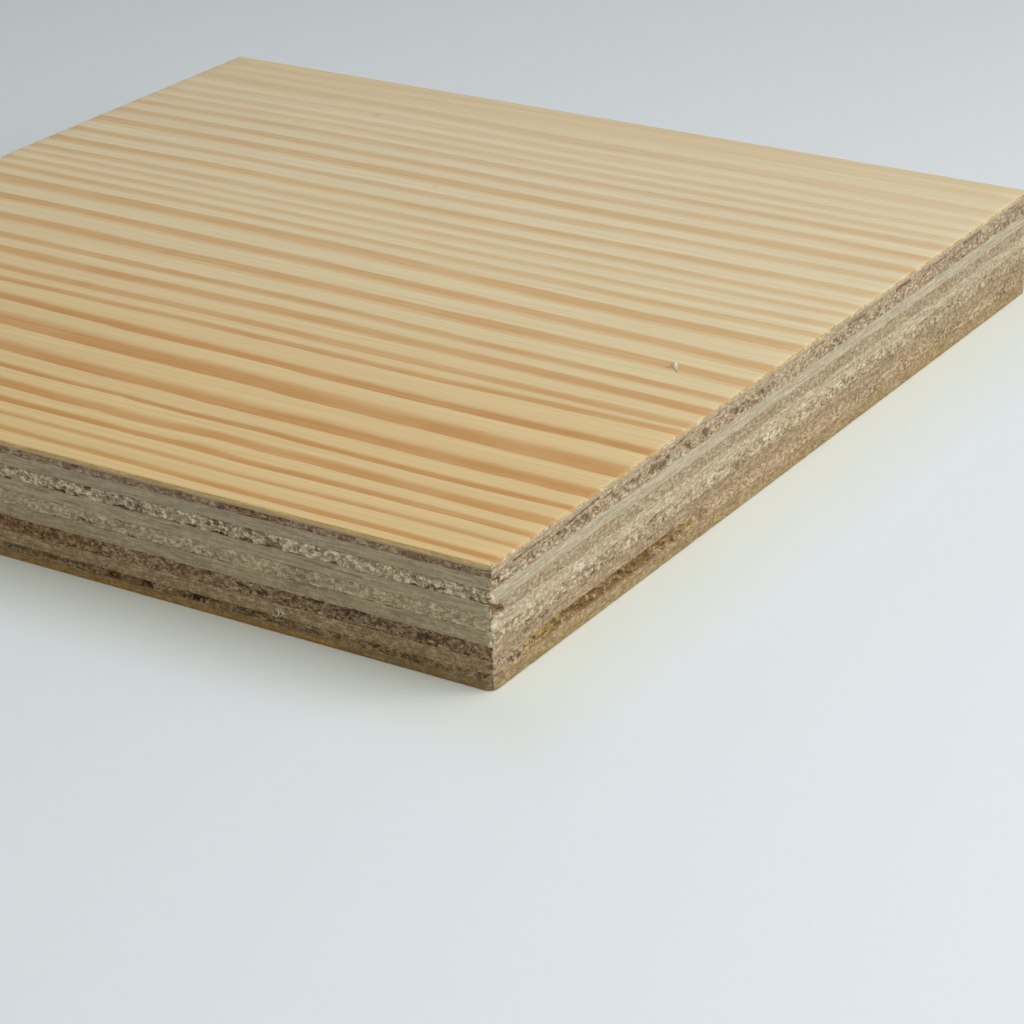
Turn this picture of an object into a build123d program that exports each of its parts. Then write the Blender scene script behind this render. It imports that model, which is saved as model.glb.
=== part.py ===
"""A small square cut from a sheet of eleven-ply plywood, lying on its back veneer.

Millimetres, +Z up. The origin is the middle of the underside. X runs across the grain
of the face and Y runs along it. Odd plies follow the face grain, even ones cross it.
"""
import os

from build123d import *

# The cut piece in plan
sheet_width = 165.0
sheet_depth = 162.0

# Ply thicknesses, from the face down to the back
face_veneer_thickness = 0.85
crossband_2_thickness = 1.0
long_ply_3_thickness = 1.8
crossband_4_thickness = 1.95
long_ply_5_thickness = 1.9
crossband_6_thickness = 2.0
long_ply_7_thickness = 2.0
crossband_8_thickness = 2.1
long_ply_9_thickness = 1.95
crossband_10_thickness = 1.1
back_veneer_thickness = 1.35

# Wear: the upright corners, the rims of the face and the back, and the back's near corner
corner_radius = 0.4
face_rim_radius = 0.15
back_rim_radius = 0.25
worn_corner_radius = 1.3

# Slanting worm hole in the front edge of long_ply_3, beside the near corner
hole_from_corner = 1.9
hole_length = 1.5
hole_width = 0.5
hole_slant = -48.0
hole_depth = 1.2

# Chip out of long_ply_5 at the near corner, seen on the front edge: lengths from the corner
# and heights from the underside of the ply
chip_length = 3.2
chip_tip_height = 0.5
chip_foot_length = 2.5
chip_shoulder_length = 1.7
chip_shoulder_height = 1.1
chip_depth = 0.9

# Torn pockets under crossband_4 on the left edge, each as (distance from the corner, length)
torn_pockets = [(23.2, 2.4), (32.2, 3.9), (38.4, 1.3), (41.8, 2.0), (45.6, 2.8), (55.4, 6.6), (66.3, 5.2)]
torn_pocket_height = 0.4
torn_pocket_depth = 0.45

# Core gap in long_ply_9, where its end grain lies back from the front edge
core_gap_from_corner = 8.0
core_gap_length = 48.0
core_gap_depth = 0.6

# Gaps right through crossband_10 on the left edge, each as (distance from the corner, length)
band_gaps = [(46.2, 3.2), (55.0, 2.0), (60.4, 2.6)]
band_gap_depth = 0.5

# Heights of the glue lines, worked up from the underside
crossband_10_base = back_veneer_thickness
long_ply_9_base = crossband_10_base + crossband_10_thickness
crossband_8_base = long_ply_9_base + long_ply_9_thickness
long_ply_7_base = crossband_8_base + crossband_8_thickness
crossband_6_base = long_ply_7_base + long_ply_7_thickness
long_ply_5_base = crossband_6_base + crossband_6_thickness
crossband_4_base = long_ply_5_base + long_ply_5_thickness
long_ply_3_base = crossband_4_base + crossband_4_thickness
crossband_2_base = long_ply_3_base + long_ply_3_thickness
face_veneer_base = crossband_2_base + crossband_2_thickness

# Places on the two near edges: X is the distance from the near corner
near_corner_x = -sheet_width / 2
near_corner_y = -sheet_depth / 2
front_face = Plane(origin=(near_corner_x, near_corner_y, 0), x_dir=(1, 0, 0), z_dir=(0, -1, 0))


def front_plan(height):
    """Level plane facing up, with Y going into the sheet from its front edge."""
    return Plane(origin=(near_corner_x, near_corner_y, height), x_dir=(1, 0, 0), z_dir=(0, 0, 1))


def left_plan(height):
    """Level plane facing down, with Y going into the sheet from its left edge."""
    return Plane(origin=(near_corner_x, near_corner_y, height), x_dir=(0, 1, 0), z_dir=(0, 0, -1))


def sheet_blank(base, thickness):
    """The sawn outline of one ply, raised to its thickness."""
    with BuildPart() as blank:
        with BuildSketch(Plane.XY.offset(base)):
            RectangleRounded(sheet_width, sheet_depth, corner_radius)
        extrude(amount=thickness)
    return blank.part


def cut_pocket(edge_plan, start, length, depth, height):
    """Scoop a shallow lens out of a sawn edge, from the plan plane through a height."""
    with BuildSketch(edge_plan) as lens:
        with BuildLine():
            Line((start, 0), (start + length, 0))
            ThreePointArc((start + length, 0), (start + length / 2, depth), (start, 0))
        make_face()
    extrude(lens.sketch, amount=height, mode=Mode.SUBTRACT)


# Face veneer: the show face, its rim just broken
with BuildPart() as face_veneer:
    add(sheet_blank(face_veneer_base, face_veneer_thickness))
    fillet(face_veneer.faces().sort_by(Axis.Z)[-1].edges(), face_rim_radius)
face_veneer.part.label = "face_veneer"

with BuildPart() as crossband_2:
    add(sheet_blank(crossband_2_base, crossband_2_thickness))
crossband_2.part.label = "crossband_2"

# Upper long-grain ply, with the worm hole in its front edge
with BuildPart() as long_ply_3:
    add(sheet_blank(long_ply_3_base, long_ply_3_thickness))
    with BuildSketch(front_face):
        with Locations((hole_from_corner, long_ply_3_base + long_ply_3_thickness / 2)):
            SlotOverall(hole_length, hole_width, rotation=hole_slant)
    extrude(amount=-hole_depth, mode=Mode.SUBTRACT)
long_ply_3.part.label = "long_ply_3"

# Coarse crossband, torn away from the glue line below it on the left edge
with BuildPart() as crossband_4:
    add(sheet_blank(crossband_4_base, crossband_4_thickness))
    torn_plan = left_plan(crossband_4_base + torn_pocket_height)
    for pocket_start, pocket_length in torn_pockets:
        cut_pocket(torn_plan, pocket_start, pocket_length, torn_pocket_depth, torn_pocket_height)
crossband_4.part.label = "crossband_4"

# Long-grain ply broken away at the near corner
with BuildPart() as long_ply_5:
    add(sheet_blank(long_ply_5_base, long_ply_5_thickness))
    with BuildSketch(front_face):
        with BuildLine():
            Polyline(
                (0, crossband_4_base),
                (0, long_ply_5_base),
                (chip_foot_length, long_ply_5_base),
                (chip_length, long_ply_5_base + chip_tip_height),
                (chip_shoulder_length, long_ply_5_base + chip_shoulder_height),
                close=True,
            )
        make_face()
    extrude(amount=-chip_depth, mode=Mode.SUBTRACT)
long_ply_5.part.label = "long_ply_5"

with BuildPart() as crossband_6:
    add(sheet_blank(crossband_6_base, crossband_6_thickness))
crossband_6.part.label = "crossband_6"

with BuildPart() as long_ply_7:
    add(sheet_blank(long_ply_7_base, long_ply_7_thickness))
long_ply_7.part.label = "long_ply_7"

with BuildPart() as crossband_8:
    add(sheet_blank(crossband_8_base, crossband_8_thickness))
crossband_8.part.label = "crossband_8"

# Lowest long-grain ply, with the core gap along the front edge
with BuildPart() as long_ply_9:
    add(sheet_blank(long_ply_9_base, long_ply_9_thickness))
    gap_plan = front_plan(long_ply_9_base)
    cut_pocket(gap_plan, core_gap_from_corner, core_gap_length, core_gap_depth, long_ply_9_thickness)
long_ply_9.part.label = "long_ply_9"

# Thin crossband over the back, gapped through on the left edge
with BuildPart() as crossband_10:
    add(sheet_blank(crossband_10_base, crossband_10_thickness))
    band_plan = left_plan(long_ply_9_base)
    for gap_start, gap_length in band_gaps:
        cut_pocket(band_plan, gap_start, gap_length, band_gap_depth, crossband_10_thickness)
crossband_10.part.label = "crossband_10"

# Back veneer: lies on the bench, its near corner knocked round
with BuildPart() as back_veneer:
    with BuildSketch(Plane.XY):
        Rectangle(sheet_width, sheet_depth)
        far_points = vertices().sort_by_distance((near_corner_x, near_corner_y))[1:]
        fillet(far_points, corner_radius)
        near_point = vertices().sort_by_distance((near_corner_x, near_corner_y))[0]
        fillet(near_point, worn_corner_radius)
    extrude(amount=back_veneer_thickness)
    fillet(back_veneer.faces().sort_by(Axis.Z)[0].edges(), back_rim_radius)
back_veneer.part.label = "back_veneer"

plies = [
    face_veneer,
    crossband_2,
    long_ply_3,
    crossband_4,
    long_ply_5,
    crossband_6,
    long_ply_7,
    crossband_8,
    long_ply_9,
    crossband_10,
    back_veneer,
]
os.makedirs("parts", exist_ok=True)
for ply in plies:
    export_step(ply.part, f"parts/{ply.part.label}.step")
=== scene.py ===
"""Dresses a small square of eleven-ply plywood: a striped softwood face over torn, pitted sawn edges.

Metres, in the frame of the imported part. Places on a sawn edge are millimetres: along it from the
near corner or the corner next to it, and up from the underside.
"""
import math

import bpy
import numpy as np
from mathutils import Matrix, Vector


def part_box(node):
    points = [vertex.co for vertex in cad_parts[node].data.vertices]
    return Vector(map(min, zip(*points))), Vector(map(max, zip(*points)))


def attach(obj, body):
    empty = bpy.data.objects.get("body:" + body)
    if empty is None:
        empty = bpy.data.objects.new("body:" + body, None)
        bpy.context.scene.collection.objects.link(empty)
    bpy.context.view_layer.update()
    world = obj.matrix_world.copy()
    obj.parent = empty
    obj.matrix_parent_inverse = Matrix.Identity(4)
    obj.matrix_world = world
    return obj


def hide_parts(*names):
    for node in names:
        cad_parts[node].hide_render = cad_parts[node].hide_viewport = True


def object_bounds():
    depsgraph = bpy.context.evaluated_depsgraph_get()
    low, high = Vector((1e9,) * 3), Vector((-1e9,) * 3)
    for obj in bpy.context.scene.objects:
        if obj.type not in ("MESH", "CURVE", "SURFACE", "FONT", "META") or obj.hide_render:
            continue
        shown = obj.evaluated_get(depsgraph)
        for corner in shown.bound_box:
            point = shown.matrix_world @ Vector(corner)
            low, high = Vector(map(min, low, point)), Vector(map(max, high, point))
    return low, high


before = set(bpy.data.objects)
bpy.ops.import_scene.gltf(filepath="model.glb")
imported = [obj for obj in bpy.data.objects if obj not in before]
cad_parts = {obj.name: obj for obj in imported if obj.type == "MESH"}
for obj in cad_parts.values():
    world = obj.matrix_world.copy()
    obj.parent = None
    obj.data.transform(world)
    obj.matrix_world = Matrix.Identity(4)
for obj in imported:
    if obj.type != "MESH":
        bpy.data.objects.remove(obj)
cad_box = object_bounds()

MM = 0.001
sheet_low = np.array(cad_box[0]) / MM
sheet_high = np.array(cad_box[1]) / MM
sheet_size = sheet_high - sheet_low

# Length and height of the cells of the sawn edges, finer on the two edges beside the near corner.
# The face veneer has the same length all round, so that its front and rear rims bridge squarely.
near_cell = 0.16
far_cell = 0.32
even_cell = 0.21
row_height = 0.16
# Cuts in the first of the two subdivisions along an edge
first_cuts = 100

# Rounding of the upright corners and the two rims, and the strips of the show face
corner_radius = 0.4
corner_segments = 3
worn_corner_radius = 1.3
worn_corner_segments = 7
face_rim_radius = 0.15
back_rim_radius = 0.25
rim_segments = 2
face_border = 0.5
face_rows = 40

# What tells the edges of a blank apart: an upright of a wall is longer than the first, and a level
# edge of a wall longer than the second, even after its first cuts
shortest_upright = 0.4
longest_corner_edge = 1.0

# Slack in looking for what lies at a height: exact, the flat of the show face, and a frayed rim
exact = 0.01
flat_slack = 0.08
rim_slack = 0.4

# Greatest push of the Displace modifiers, in and out of a sawn edge, and the least weight they act on
deepest_cut = 1.2
longest_tuft = 0.15
least_weight = 0.004

# Lumps, along an edge and up it, in the noise that tears the edges
crumb_lumps = (0.75, 0.5)
crevice_lumps = (1.3, 0.8)
patch_lumps = (6.0, 3.0)
splinter_lumps = (5.0, 0.22)
saw_lumps = (0.5, 0.3)
along_shift_lumps = (0.7, 0.7)
height_shift_lumps = (0.55, 0.55)
fray_lumps = (0.7, 0.55)

# Depths of the saw's marks in end grain and in side grain, of splintered side grain, and of the
# frayed near corner
end_saw_depth = 0.08
side_saw_depth = 0.03
splinter_depth = 0.04
fray_depth = 0.40

EDGES = ("front", "left", "rear", "right")


class Ply:
    """One ply of the sheet, and how its sawn edges look.

    grain: the axis that its grain runs along
    end, side, pit: the colours of its end grain, its side grain and its pits; the pit colour is also the
    painted shade in its torn hollows
    torn: how deep its end grain is torn, in mm, and how much of it
    speckle, pitted: how speckled and how pitted its end grain looks, and then its side grain
    crumb: the size of its crumbs, in mm
    rows: rows of cells up its edges, where its height doesn't settle them
    """

    def __init__(self, node, grain, end, side, pit, torn, speckle, pitted, crumb, rows=None):
        self.node = node
        self.grain = grain
        self.end = end
        self.side = side
        self.pit = pit
        self.torn_depth, self.torn_share = torn
        self.speckle = speckle
        self.pitted = pitted
        self.crumb = crumb
        low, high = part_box(node)
        self.low = low.z / MM
        self.high = high.z / MM
        self.rows = rows or round((self.high - self.low) / row_height)


plies = [
    Ply("face_veneer", "y", end=(0.705, 0.515, 0.275), side=(0.72, 0.485, 0.195), pit=(0.36, 0.19, 0.08),
        torn=(0.1, 0.4), speckle=(0.28, 0.1), pitted=(0.5, 0.0), crumb=0.25),
    Ply("crossband_2", "x", end=(0.437, 0.302, 0.179), side=(0.52, 0.385, 0.244), pit=(0.15, 0.05, 0.035),
        torn=(0.12, 0.3), speckle=(0.52, 0.34), pitted=(0.8, 0.2), crumb=0.22, rows=7),
    Ply("long_ply_3", "y", end=(0.55, 0.397, 0.24), side=(0.46, 0.374, 0.25), pit=(0.17, 0.1, 0.045),
        torn=(0.16, 0.35), speckle=(0.54, 0.11), pitted=(0.8, 0.05), crumb=0.26),
    Ply("crossband_4", "x", end=(0.665, 0.545, 0.346), side=(0.51, 0.42, 0.29), pit=(0.15, 0.088, 0.036),
        torn=(0.22, 0.25), speckle=(0.58, 0.12), pitted=(0.8, 0.0), crumb=0.32),
    Ply("long_ply_5", "y", end=(0.485, 0.368, 0.225), side=(0.47, 0.387, 0.249), pit=(0.34, 0.165, 0.06),
        torn=(0.1, 0.3), speckle=(0.36, 0.12), pitted=(0.6, 0.05), crumb=0.22),
    Ply("crossband_6", "x", end=(0.59, 0.482, 0.303), side=(0.59, 0.468, 0.303), pit=(0.26, 0.17, 0.08),
        torn=(0.13, 0.3), speckle=(0.42, 0.28), pitted=(0.6, 0.3), crumb=0.22),
    Ply("long_ply_7", "y", end=(0.57, 0.432, 0.263), side=(0.437, 0.357, 0.223), pit=(0.17, 0.095, 0.045),
        torn=(0.16, 0.35), speckle=(0.47, 0.15), pitted=(0.7, 0.08), crumb=0.28),
    Ply("crossband_8", "x", end=(0.437, 0.283, 0.153), side=(0.465, 0.33, 0.198), pit=(0.09, 0.04, 0.018),
        torn=(0.16, 0.4), speckle=(0.62, 0.32), pitted=(0.95, 0.35), crumb=0.2),
    Ply("long_ply_9", "y", end=(0.55, 0.388, 0.231), side=(0.438, 0.318, 0.179), pit=(0.13, 0.065, 0.022),
        torn=(0.18, 0.4), speckle=(0.42, 0.34), pitted=(0.6, 0.25), crumb=0.26),
    Ply("crossband_10", "x", end=(0.39, 0.25, 0.113), side=(0.455, 0.312, 0.165), pit=(0.1, 0.04, 0.02),
        torn=(0.14, 0.4), speckle=(0.58, 0.34), pitted=(0.9, 0.3), crumb=0.2, rows=7),
    Ply("back_veneer", "y", end=(0.435, 0.309, 0.154), side=(0.335, 0.232, 0.115), pit=(0.16, 0.09, 0.03),
        torn=(0.08, 0.4), speckle=(0.28, 0.28), pitted=(0.5, 0.2), crumb=0.2),
]

# Late wood on the show face: where each band starts, along the front edge, at five distances back
# from that edge, then its width and how dark it is. The outer two lie beyond the sheet.
band_stations = (0, 40, 80, 120, 162)
late_bands = [
    ((-4.0, -3.5, -2.5, -1.5, -0.5), 1.5, 0.9),
    ((1.4, 2.0, 2.8, 4.4, 5.4), 1.5, 1.0),
    ((5.9, 6.4, 6.9, 7.9, 8.8), 1.2, 0.75),
    ((9.4, 10.3, 10.5, 11.8, 12.6), 1.8, 0.95),
    ((13.5, 14.5, 14.4, 16.0, 17.0), 2.6, 0.95),
    ((19.0, 19.2, 20.2, 21.2, 22.2), 1.6, 0.95),
    ((23.4, 24.0, 25.2, 26.4, 27.6), 3.4, 1.0),
    ((30.8, 31.7, 33.2, 34.3, 35.4), 4.3, 0.95),
    ((39.4, 39.6, 40.9, 42.3, 43.4), 2.5, 1.05),
    ((47.4, 47.2, 48.2, 48.5, 48.9), 1.8, 0.85),
    ((49.9, 50.9, 52.0, 52.4, 53.0), 2.2, 0.8),
    ((55.0, 56.7, 57.7, 58.1, 59.4), 2.7, 0.9),
    ((60.4, 61.8, 63.1, 63.6, 64.6), 2.1, 0.85),
    ((66.7, 68.1, 69.3, 70.4, 70.5), 3.1, 0.95),
    ((73.4, 75.5, 77.4, 78.3, 79.0), 2.8, 0.95),
    ((81.8, 82.5, 84.7, 85.6, 85.6), 3.4, 0.95),
    ((88.6, 88.9, 90.1, 91.1, 91.5), 2.2, 0.8),
    ((93.2, 93.5, 94.5, 95.3, 95.6), 2.0, 0.65),
    ((97.9, 98.2, 98.6, 99.1, 99.3), 2.0, 0.6),
    ((101.6, 102.1, 102.3, 102.9, 102.6), 2.5, 0.8),
    ((107.7, 107.7, 107.5, 108.4, 107.7), 2.7, 0.9),
    ((114.6, 114.4, 113.9, 114.3, 114.0), 2.3, 0.8),
    ((119.4, 119.6, 120.0, 120.5, 120.0), 3.2, 1.0),
    ((125.4, 126.0, 125.9, 126.6, 126.0), 2.8, 0.9),
    ((131.2, 131.6, 131.9, 132.6, 131.4), 2.7, 0.85),
    ((135.5, 136.3, 136.6, 137.2, 136.5), 2.2, 0.55),
    ((139.7, 140.1, 140.2, 141.0, 140.5), 2.4, 0.55),
    ((144.3, 145.0, 145.2, 145.8, 145.2), 2.4, 0.5),
    ((148.7, 149.6, 149.0, 150.2, 150.8), 3.8, 0.6),
    ((156.9, 158.0, 157.4, 156.0, 155.2), 3.4, 0.4),
    ((162.5, 162.3, 161.8, 161.2, 160.2), 2.0, 0.45),
    ((168.0, 168.0, 168.0, 168.0, 168.0), 1.5, 0.5),
]
# Left of this the bands are sharp on their left side only; beyond it they fade to both sides
bands_soften = 55.0
# Where the bands bend most, and how far they lean for each mm down through the veneer
kink_place = (18, 58)
lean = 0.15

# Marks on the sawn edges, by kind and edge: (along, height) where each starts and ends, half its
# breadth and its strength
marks = {
    ("crack", "front"): [
        ((5.3, 16.5), (10.7, 16.52), 0.09, 0.9), ((11.2, 16.48), (14.0, 16.42), 0.1, 0.7),
        ((18.2, 16.25), (26.5, 16.85), 0.11, 1.0), ((27.8, 16.4), (30.0, 16.42), 0.1, 0.8),
        ((30.0, 16.12), (38.0, 16.05), 0.08, 0.5), ((41.5, 16.7), (42.6, 16.72), 0.12, 0.7),
        ((45.6, 16.5), (46.6, 16.52), 0.12, 0.6), ((47.8, 16.7), (49.2, 16.72), 0.13, 0.8),
        ((58.4, 16.8), (59.5, 16.8), 0.12, 0.8), ((87.0, 16.7), (91.0, 16.72), 0.11, 0.5),
        ((99.0, 16.45), (104.5, 16.4), 0.14, 0.8), ((115.5, 16.75), (120.0, 16.8), 0.22, 0.9),
        ((126.0, 16.55), (133.0, 16.6), 0.14, 0.5), ((139.5, 16.7), (146.0, 16.7), 0.18, 0.7),
        ((158.0, 16.45), (161.0, 16.4), 0.18, 0.6), ((0.0, 2.15), (2.3, 2.1), 0.1, 0.8),
    ],
    ("stain", "front"): [
        ((9.2, 15.8), (10.4, 15.0), 0.35, 0.45), ((16.2, 15.9), (18.4, 15.2), 0.3, 0.8),
        ((22.4, 15.8), (24.1, 15.1), 0.3, 0.75), ((30.0, 15.8), (31.4, 15.2), 0.25, 0.7),
        ((33.0, 15.7), (34.0, 15.2), 0.22, 0.5), ((35.4, 15.8), (36.8, 15.3), 0.28, 0.7),
        ((40.4, 15.7), (43.6, 15.2), 0.45, 0.8), ((44.6, 15.9), (45.2, 15.4), 0.25, 0.8),
        ((49.6, 15.8), (50.6, 15.1), 0.32, 0.8), ((54.8, 15.9), (55.7, 15.2), 0.35, 0.8),
        ((62.9, 15.9), (64.6, 15.3), 0.35, 0.75), ((72.2, 15.6), (73.0, 15.1), 0.28, 0.6),
        ((47.7, 11.9), (48.4, 11.7), 0.25, 0.6), ((74.1, 11.6), (75.2, 11.3), 0.25, 0.6),
    ],
    ("dark", "front"): [
        ((7.7, 6.68), (9.2, 6.66), 0.12, 0.8), ((14.6, 6.62), (16.4, 6.6), 0.09, 0.6),
        ((17.5, 6.66), (18.1, 6.66), 0.11, 0.8), ((24.0, 6.75), (25.0, 6.7), 0.13, 0.8),
        ((26.8, 7.0), (27.6, 6.8), 0.1, 0.7), ((36.9, 6.75), (38.2, 6.7), 0.13, 0.7),
        ((7.6, 5.6), (8.3, 5.5), 0.11, 0.8), ((11.2, 5.85), (13.3, 5.8), 0.1, 0.8),
        ((21.9, 5.95), (22.9, 5.9), 0.09, 0.6), ((39.4, 5.6), (40.2, 5.5), 0.13, 0.8),
        ((15.5, 10.75), (16.8, 10.7), 0.1, 0.7), ((3.3, 3.2), (6.6, 2.75), 0.22, 0.7),
        ((12.0, 3.0), (13.3, 2.8), 0.22, 0.7), ((15.5, 2.9), (16.6, 2.75), 0.2, 0.7),
        ((18.6, 3.5), (22.0, 2.95), 0.18, 0.6), ((9.6, 3.9), (10.6, 3.5), 0.16, 0.5),
        ((10.2, 3.1), (11.2, 2.9), 0.16, 0.7), ((14.2, 3.9), (15.4, 3.6), 0.18, 0.7),
        ((17.0, 3.9), (18.0, 3.6), 0.16, 0.6), ((25.0, 3.6), (27.2, 3.4), 0.2, 0.5),
        ((32.0, 3.2), (34.6, 3.3), 0.2, 0.5),
    ],
    ("pale", "front"): [
        ((0.2, 14.2), (0.3, 12.6), 0.25, 0.5), ((0.2, 10.2), (0.4, 7.0), 0.35, 0.55),
        ((2.0, 3.9), (3.2, 3.3), 0.3, 0.37), ((5.0, 4.0), (6.6, 3.4), 0.25, 0.31),
        ((3.0, 15.5), (5.4, 14.8), 0.4, 0.22), ((8.0, 8.6), (9.4, 8.0), 0.35, 0.37),
        ((11.2, 9.1), (12.4, 8.6), 0.3, 0.56), ((20.3, 9.5), (21.8, 8.7), 0.4, 0.62),
        ((23.8, 9.1), (25.3, 8.7), 0.28, 0.56), ((33.2, 9.4), (34.6, 8.9), 0.3, 0.43),
        ((44.0, 9.6), (45.2, 9.2), 0.3, 0.5), ((55.2, 8.3), (56.6, 8.0), 0.35, 0.5),
        ((62.4, 8.6), (63.8, 8.2), 0.38, 0.56), ((72.8, 8.5), (75.2, 7.8), 0.42, 0.62),
        ((84.0, 8.8), (86.0, 8.6), 0.35, 0.43), ((90.5, 8.6), (93.0, 8.4), 0.35, 0.43),
        ((95.0, 8.2), (97.5, 8.0), 0.4, 0.5), ((99.0, 8.7), (101.0, 8.5), 0.35, 0.43),
        ((103.0, 8.4), (105.0, 8.2), 0.35, 0.37), ((119.0, 8.6), (127.0, 8.5), 0.3, 0.31),
    ],
    ("pale", "left"): [
        ((0.0, 14.0), (0.1, 6.6), 0.22, 0.6),
    ],
    ("amber", "front"): [
        ((0.0, 10.3), (0.7, 10.2), 0.18, 0.5),
    ],
    ("amber", "left"): [
        ((0.0, 11.3), (0.3, 11.2), 0.3, 0.5), ((24.0, 0.35), (162.0, 0.35), 0.36, 0.85),
        ((0.0, 0.3), (24.0, 0.3), 0.3, 0.35),
    ],
    ("ochre", "front"): [
        ((8.2, 3.5), (19.0, 3.4), 0.75, 0.85), ((41.4, 3.4), (43.0, 3.3), 0.55, 0.6),
        ((49.2, 3.5), (52.0, 3.1), 0.5, 0.9), ((0.0, 0.35), (165.0, 0.35), 0.34, 0.35),
    ],
    ("umber", "front"): [
        ((20.0, 3.4), (40.6, 3.3), 0.8, 0.95), ((43.6, 3.4), (48.6, 3.3), 0.65, 0.8),
        ((53.0, 3.8), (55.4, 3.5), 0.45, 0.7),
    ],
    ("streak", "front"): [
        ((1.0, 0.95), (12.0, 0.9), 0.06, 0.7), ((3.0, 0.5), (20.0, 0.5), 0.05, 0.6),
        ((14.0, 0.85), (30.0, 0.75), 0.06, 0.6),
    ],
    ("red", "left"): [
        ((8.7, 16.65), (13.9, 16.6), 0.28, 0.6), ((31.6, 16.8), (33.4, 16.85), 0.2, 0.7),
        ((34.3, 16.85), (34.9, 16.85), 0.18, 0.6), ((36.8, 16.8), (43.0, 16.75), 0.22, 0.55),
        ((49.0, 16.85), (49.8, 16.85), 0.2, 0.9), ((66.4, 16.8), (67.2, 16.85), 0.15, 0.6),
        ((0.2, 3.5), (0.8, 3.4), 0.3, 0.7), ((0.3, 5.6), (1.0, 5.4), 0.45, 0.5),
        ((55.4, 1.95), (58.4, 1.95), 0.36, 0.7), ((60.4, 2.0), (62.3, 1.95), 0.34, 0.7),
        ((78.5, 5.9), (82.0, 5.8), 0.7, 0.7),
    ],
    ("dark", "left"): [
        ((55.1, 1.8), (55.9, 2.1), 0.24, 0.9), ((46.7, 2.1), (47.8, 1.8), 0.24, 0.9),
        ((48.6, 2.0), (51.0, 1.9), 0.25, 0.5), ((45.0, 2.2), (45.5, 2.2), 0.18, 0.8),
        ((37.0, 2.2), (40.5, 2.15), 0.14, 0.5), ((70.0, 2.0), (81.0, 1.95), 0.22, 0.5),
        ((18.0, 2.15), (18.8, 2.1), 0.18, 0.8), ((19.5, 6.3), (23.4, 6.1), 0.2, 0.7),
        ((15.0, 5.9), (18.2, 5.4), 0.28, 0.6), ((8.6, 5.4), (11.5, 5.3), 0.3, 0.9),
        ((26.2, 6.3), (29.0, 6.2), 0.16, 0.5), ((36.0, 5.35), (36.9, 5.3), 0.24, 1.0),
        ((38.6, 5.3), (40.4, 5.9), 0.13, 0.9), ((44.8, 6.2), (46.2, 6.0), 0.2, 0.7),
        ((51.8, 6.0), (52.9, 6.25), 0.22, 0.9), ((66.2, 9.1), (66.9, 9.1), 0.18, 0.8),
        ((64.4, 9.0), (65.3, 9.0), 0.14, 0.7),
    ],
    ("umber", "left"): [
        ((66.8, 5.4), (78.0, 5.4), 1.0, 0.45), ((0.0, 3.3), (24.0, 3.4), 0.7, 0.25),
    ],
    ("streak", "left"): [
        ((20.0, 11.5), (29.0, 11.8), 0.07, 0.9), ((49.5, 11.7), (54.5, 11.8), 0.07, 0.7),
        ((66.5, 11.1), (70.5, 11.3), 0.07, 0.5), ((72.0, 11.8), (76.5, 12.0), 0.08, 0.8),
        ((26.2, 8.35), (31.0, 8.15), 0.09, 0.8), ((22.6, 8.6), (24.6, 8.6), 0.08, 0.6),
        ((14.2, 7.4), (15.6, 7.5), 0.12, 0.7), ((0.0, 14.9), (6.0, 15.2), 0.06, 0.4),
    ],
    ("amber", "rear"): [
        ((0.0, 0.35), (165.0, 0.35), 0.38, 0.5),
    ],
    ("amber", "right"): [
        ((0.0, 0.35), (162.0, 0.35), 0.38, 0.6),
    ],
}

# Colour of each kind of mark, how deep it goes in, in mm, and how ragged its outline is
mark_kinds = {
    "crack": ((0.15, 0.06, 0.043), 0.15, 0.3),
    "stain": ((0.20, 0.125, 0.05), 0.12, 1.0),
    "dark": ((0.105, 0.055, 0.022), 0.20, 1.4),
    "pale": ((0.80, 0.69, 0.51), 0.0, 2.4),
    "ochre": ((0.47, 0.29, 0.085), 0.0, 1.4),
    "amber": ((0.46, 0.25, 0.065), 0.0, 0.8),
    "umber": ((0.35, 0.20, 0.068), 0.0, 1.2),
    "red": ((0.22, 0.075, 0.035), 0.12, 1.2),
    "streak": ((0.26, 0.155, 0.07), 0.05, 0.2),
}

# Soft marks tint the wood itself and sharp ones lie over its speckle
soft_marks = ("stain", "pale", "ochre", "amber", "umber")
sharp_marks = ("crack", "dark", "red", "streak")

# Scoops out of the sawn edges, those of the imported solids and smaller ones, by ply and edge: start
# and length along it, heights from and to, depth in the middle and how dark it is painted, as painted shade
# in the scoop
scoops = {
    ("crossband_4", "left"): [
        ((23.2, 2.4), (12.4, 12.65), 0.45, 0.8), ((32.2, 3.9), (12.4, 12.8), 0.45, 0.85),
        ((38.4, 1.3), (12.4, 12.75), 0.45, 0.8), ((41.8, 2.0), (12.4, 12.65), 0.45, 0.8),
        ((45.6, 2.8), (12.4, 12.6), 0.45, 0.8), ((48.9, 2.6), (12.4, 12.6), 0.35, 0.7),
        ((55.4, 6.6), (12.4, 12.7), 0.45, 0.8), ((66.3, 1.7), (12.4, 12.85), 0.45, 0.85),
        ((68.8, 3.2), (12.4, 12.8), 0.45, 0.85), ((42.8, 1.6), (13.7, 14.35), 0.35, 0.8),
        ((64.4, 1.4), (13.9, 14.35), 0.35, 0.8), ((37.2, 1.2), (13.5, 14.35), 0.35, 0.8),
        ((32.7, 0.9), (12.9, 14.1), 0.35, 0.8), ((20.2, 0.7), (13.8, 14.35), 0.35, 0.8),
    ],
    ("long_ply_9", "front"): [
        ((8.0, 48.0), (2.45, 4.4), 0.6, 0.1),
    ],
    ("crossband_10", "left"): [
        ((46.2, 3.2), (1.45, 2.3), 0.5, 0.55), ((55.0, 2.0), (1.45, 2.3), 0.5, 0.6),
        ((60.4, 2.6), (1.45, 2.3), 0.5, 0.4),
    ],
}
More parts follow.
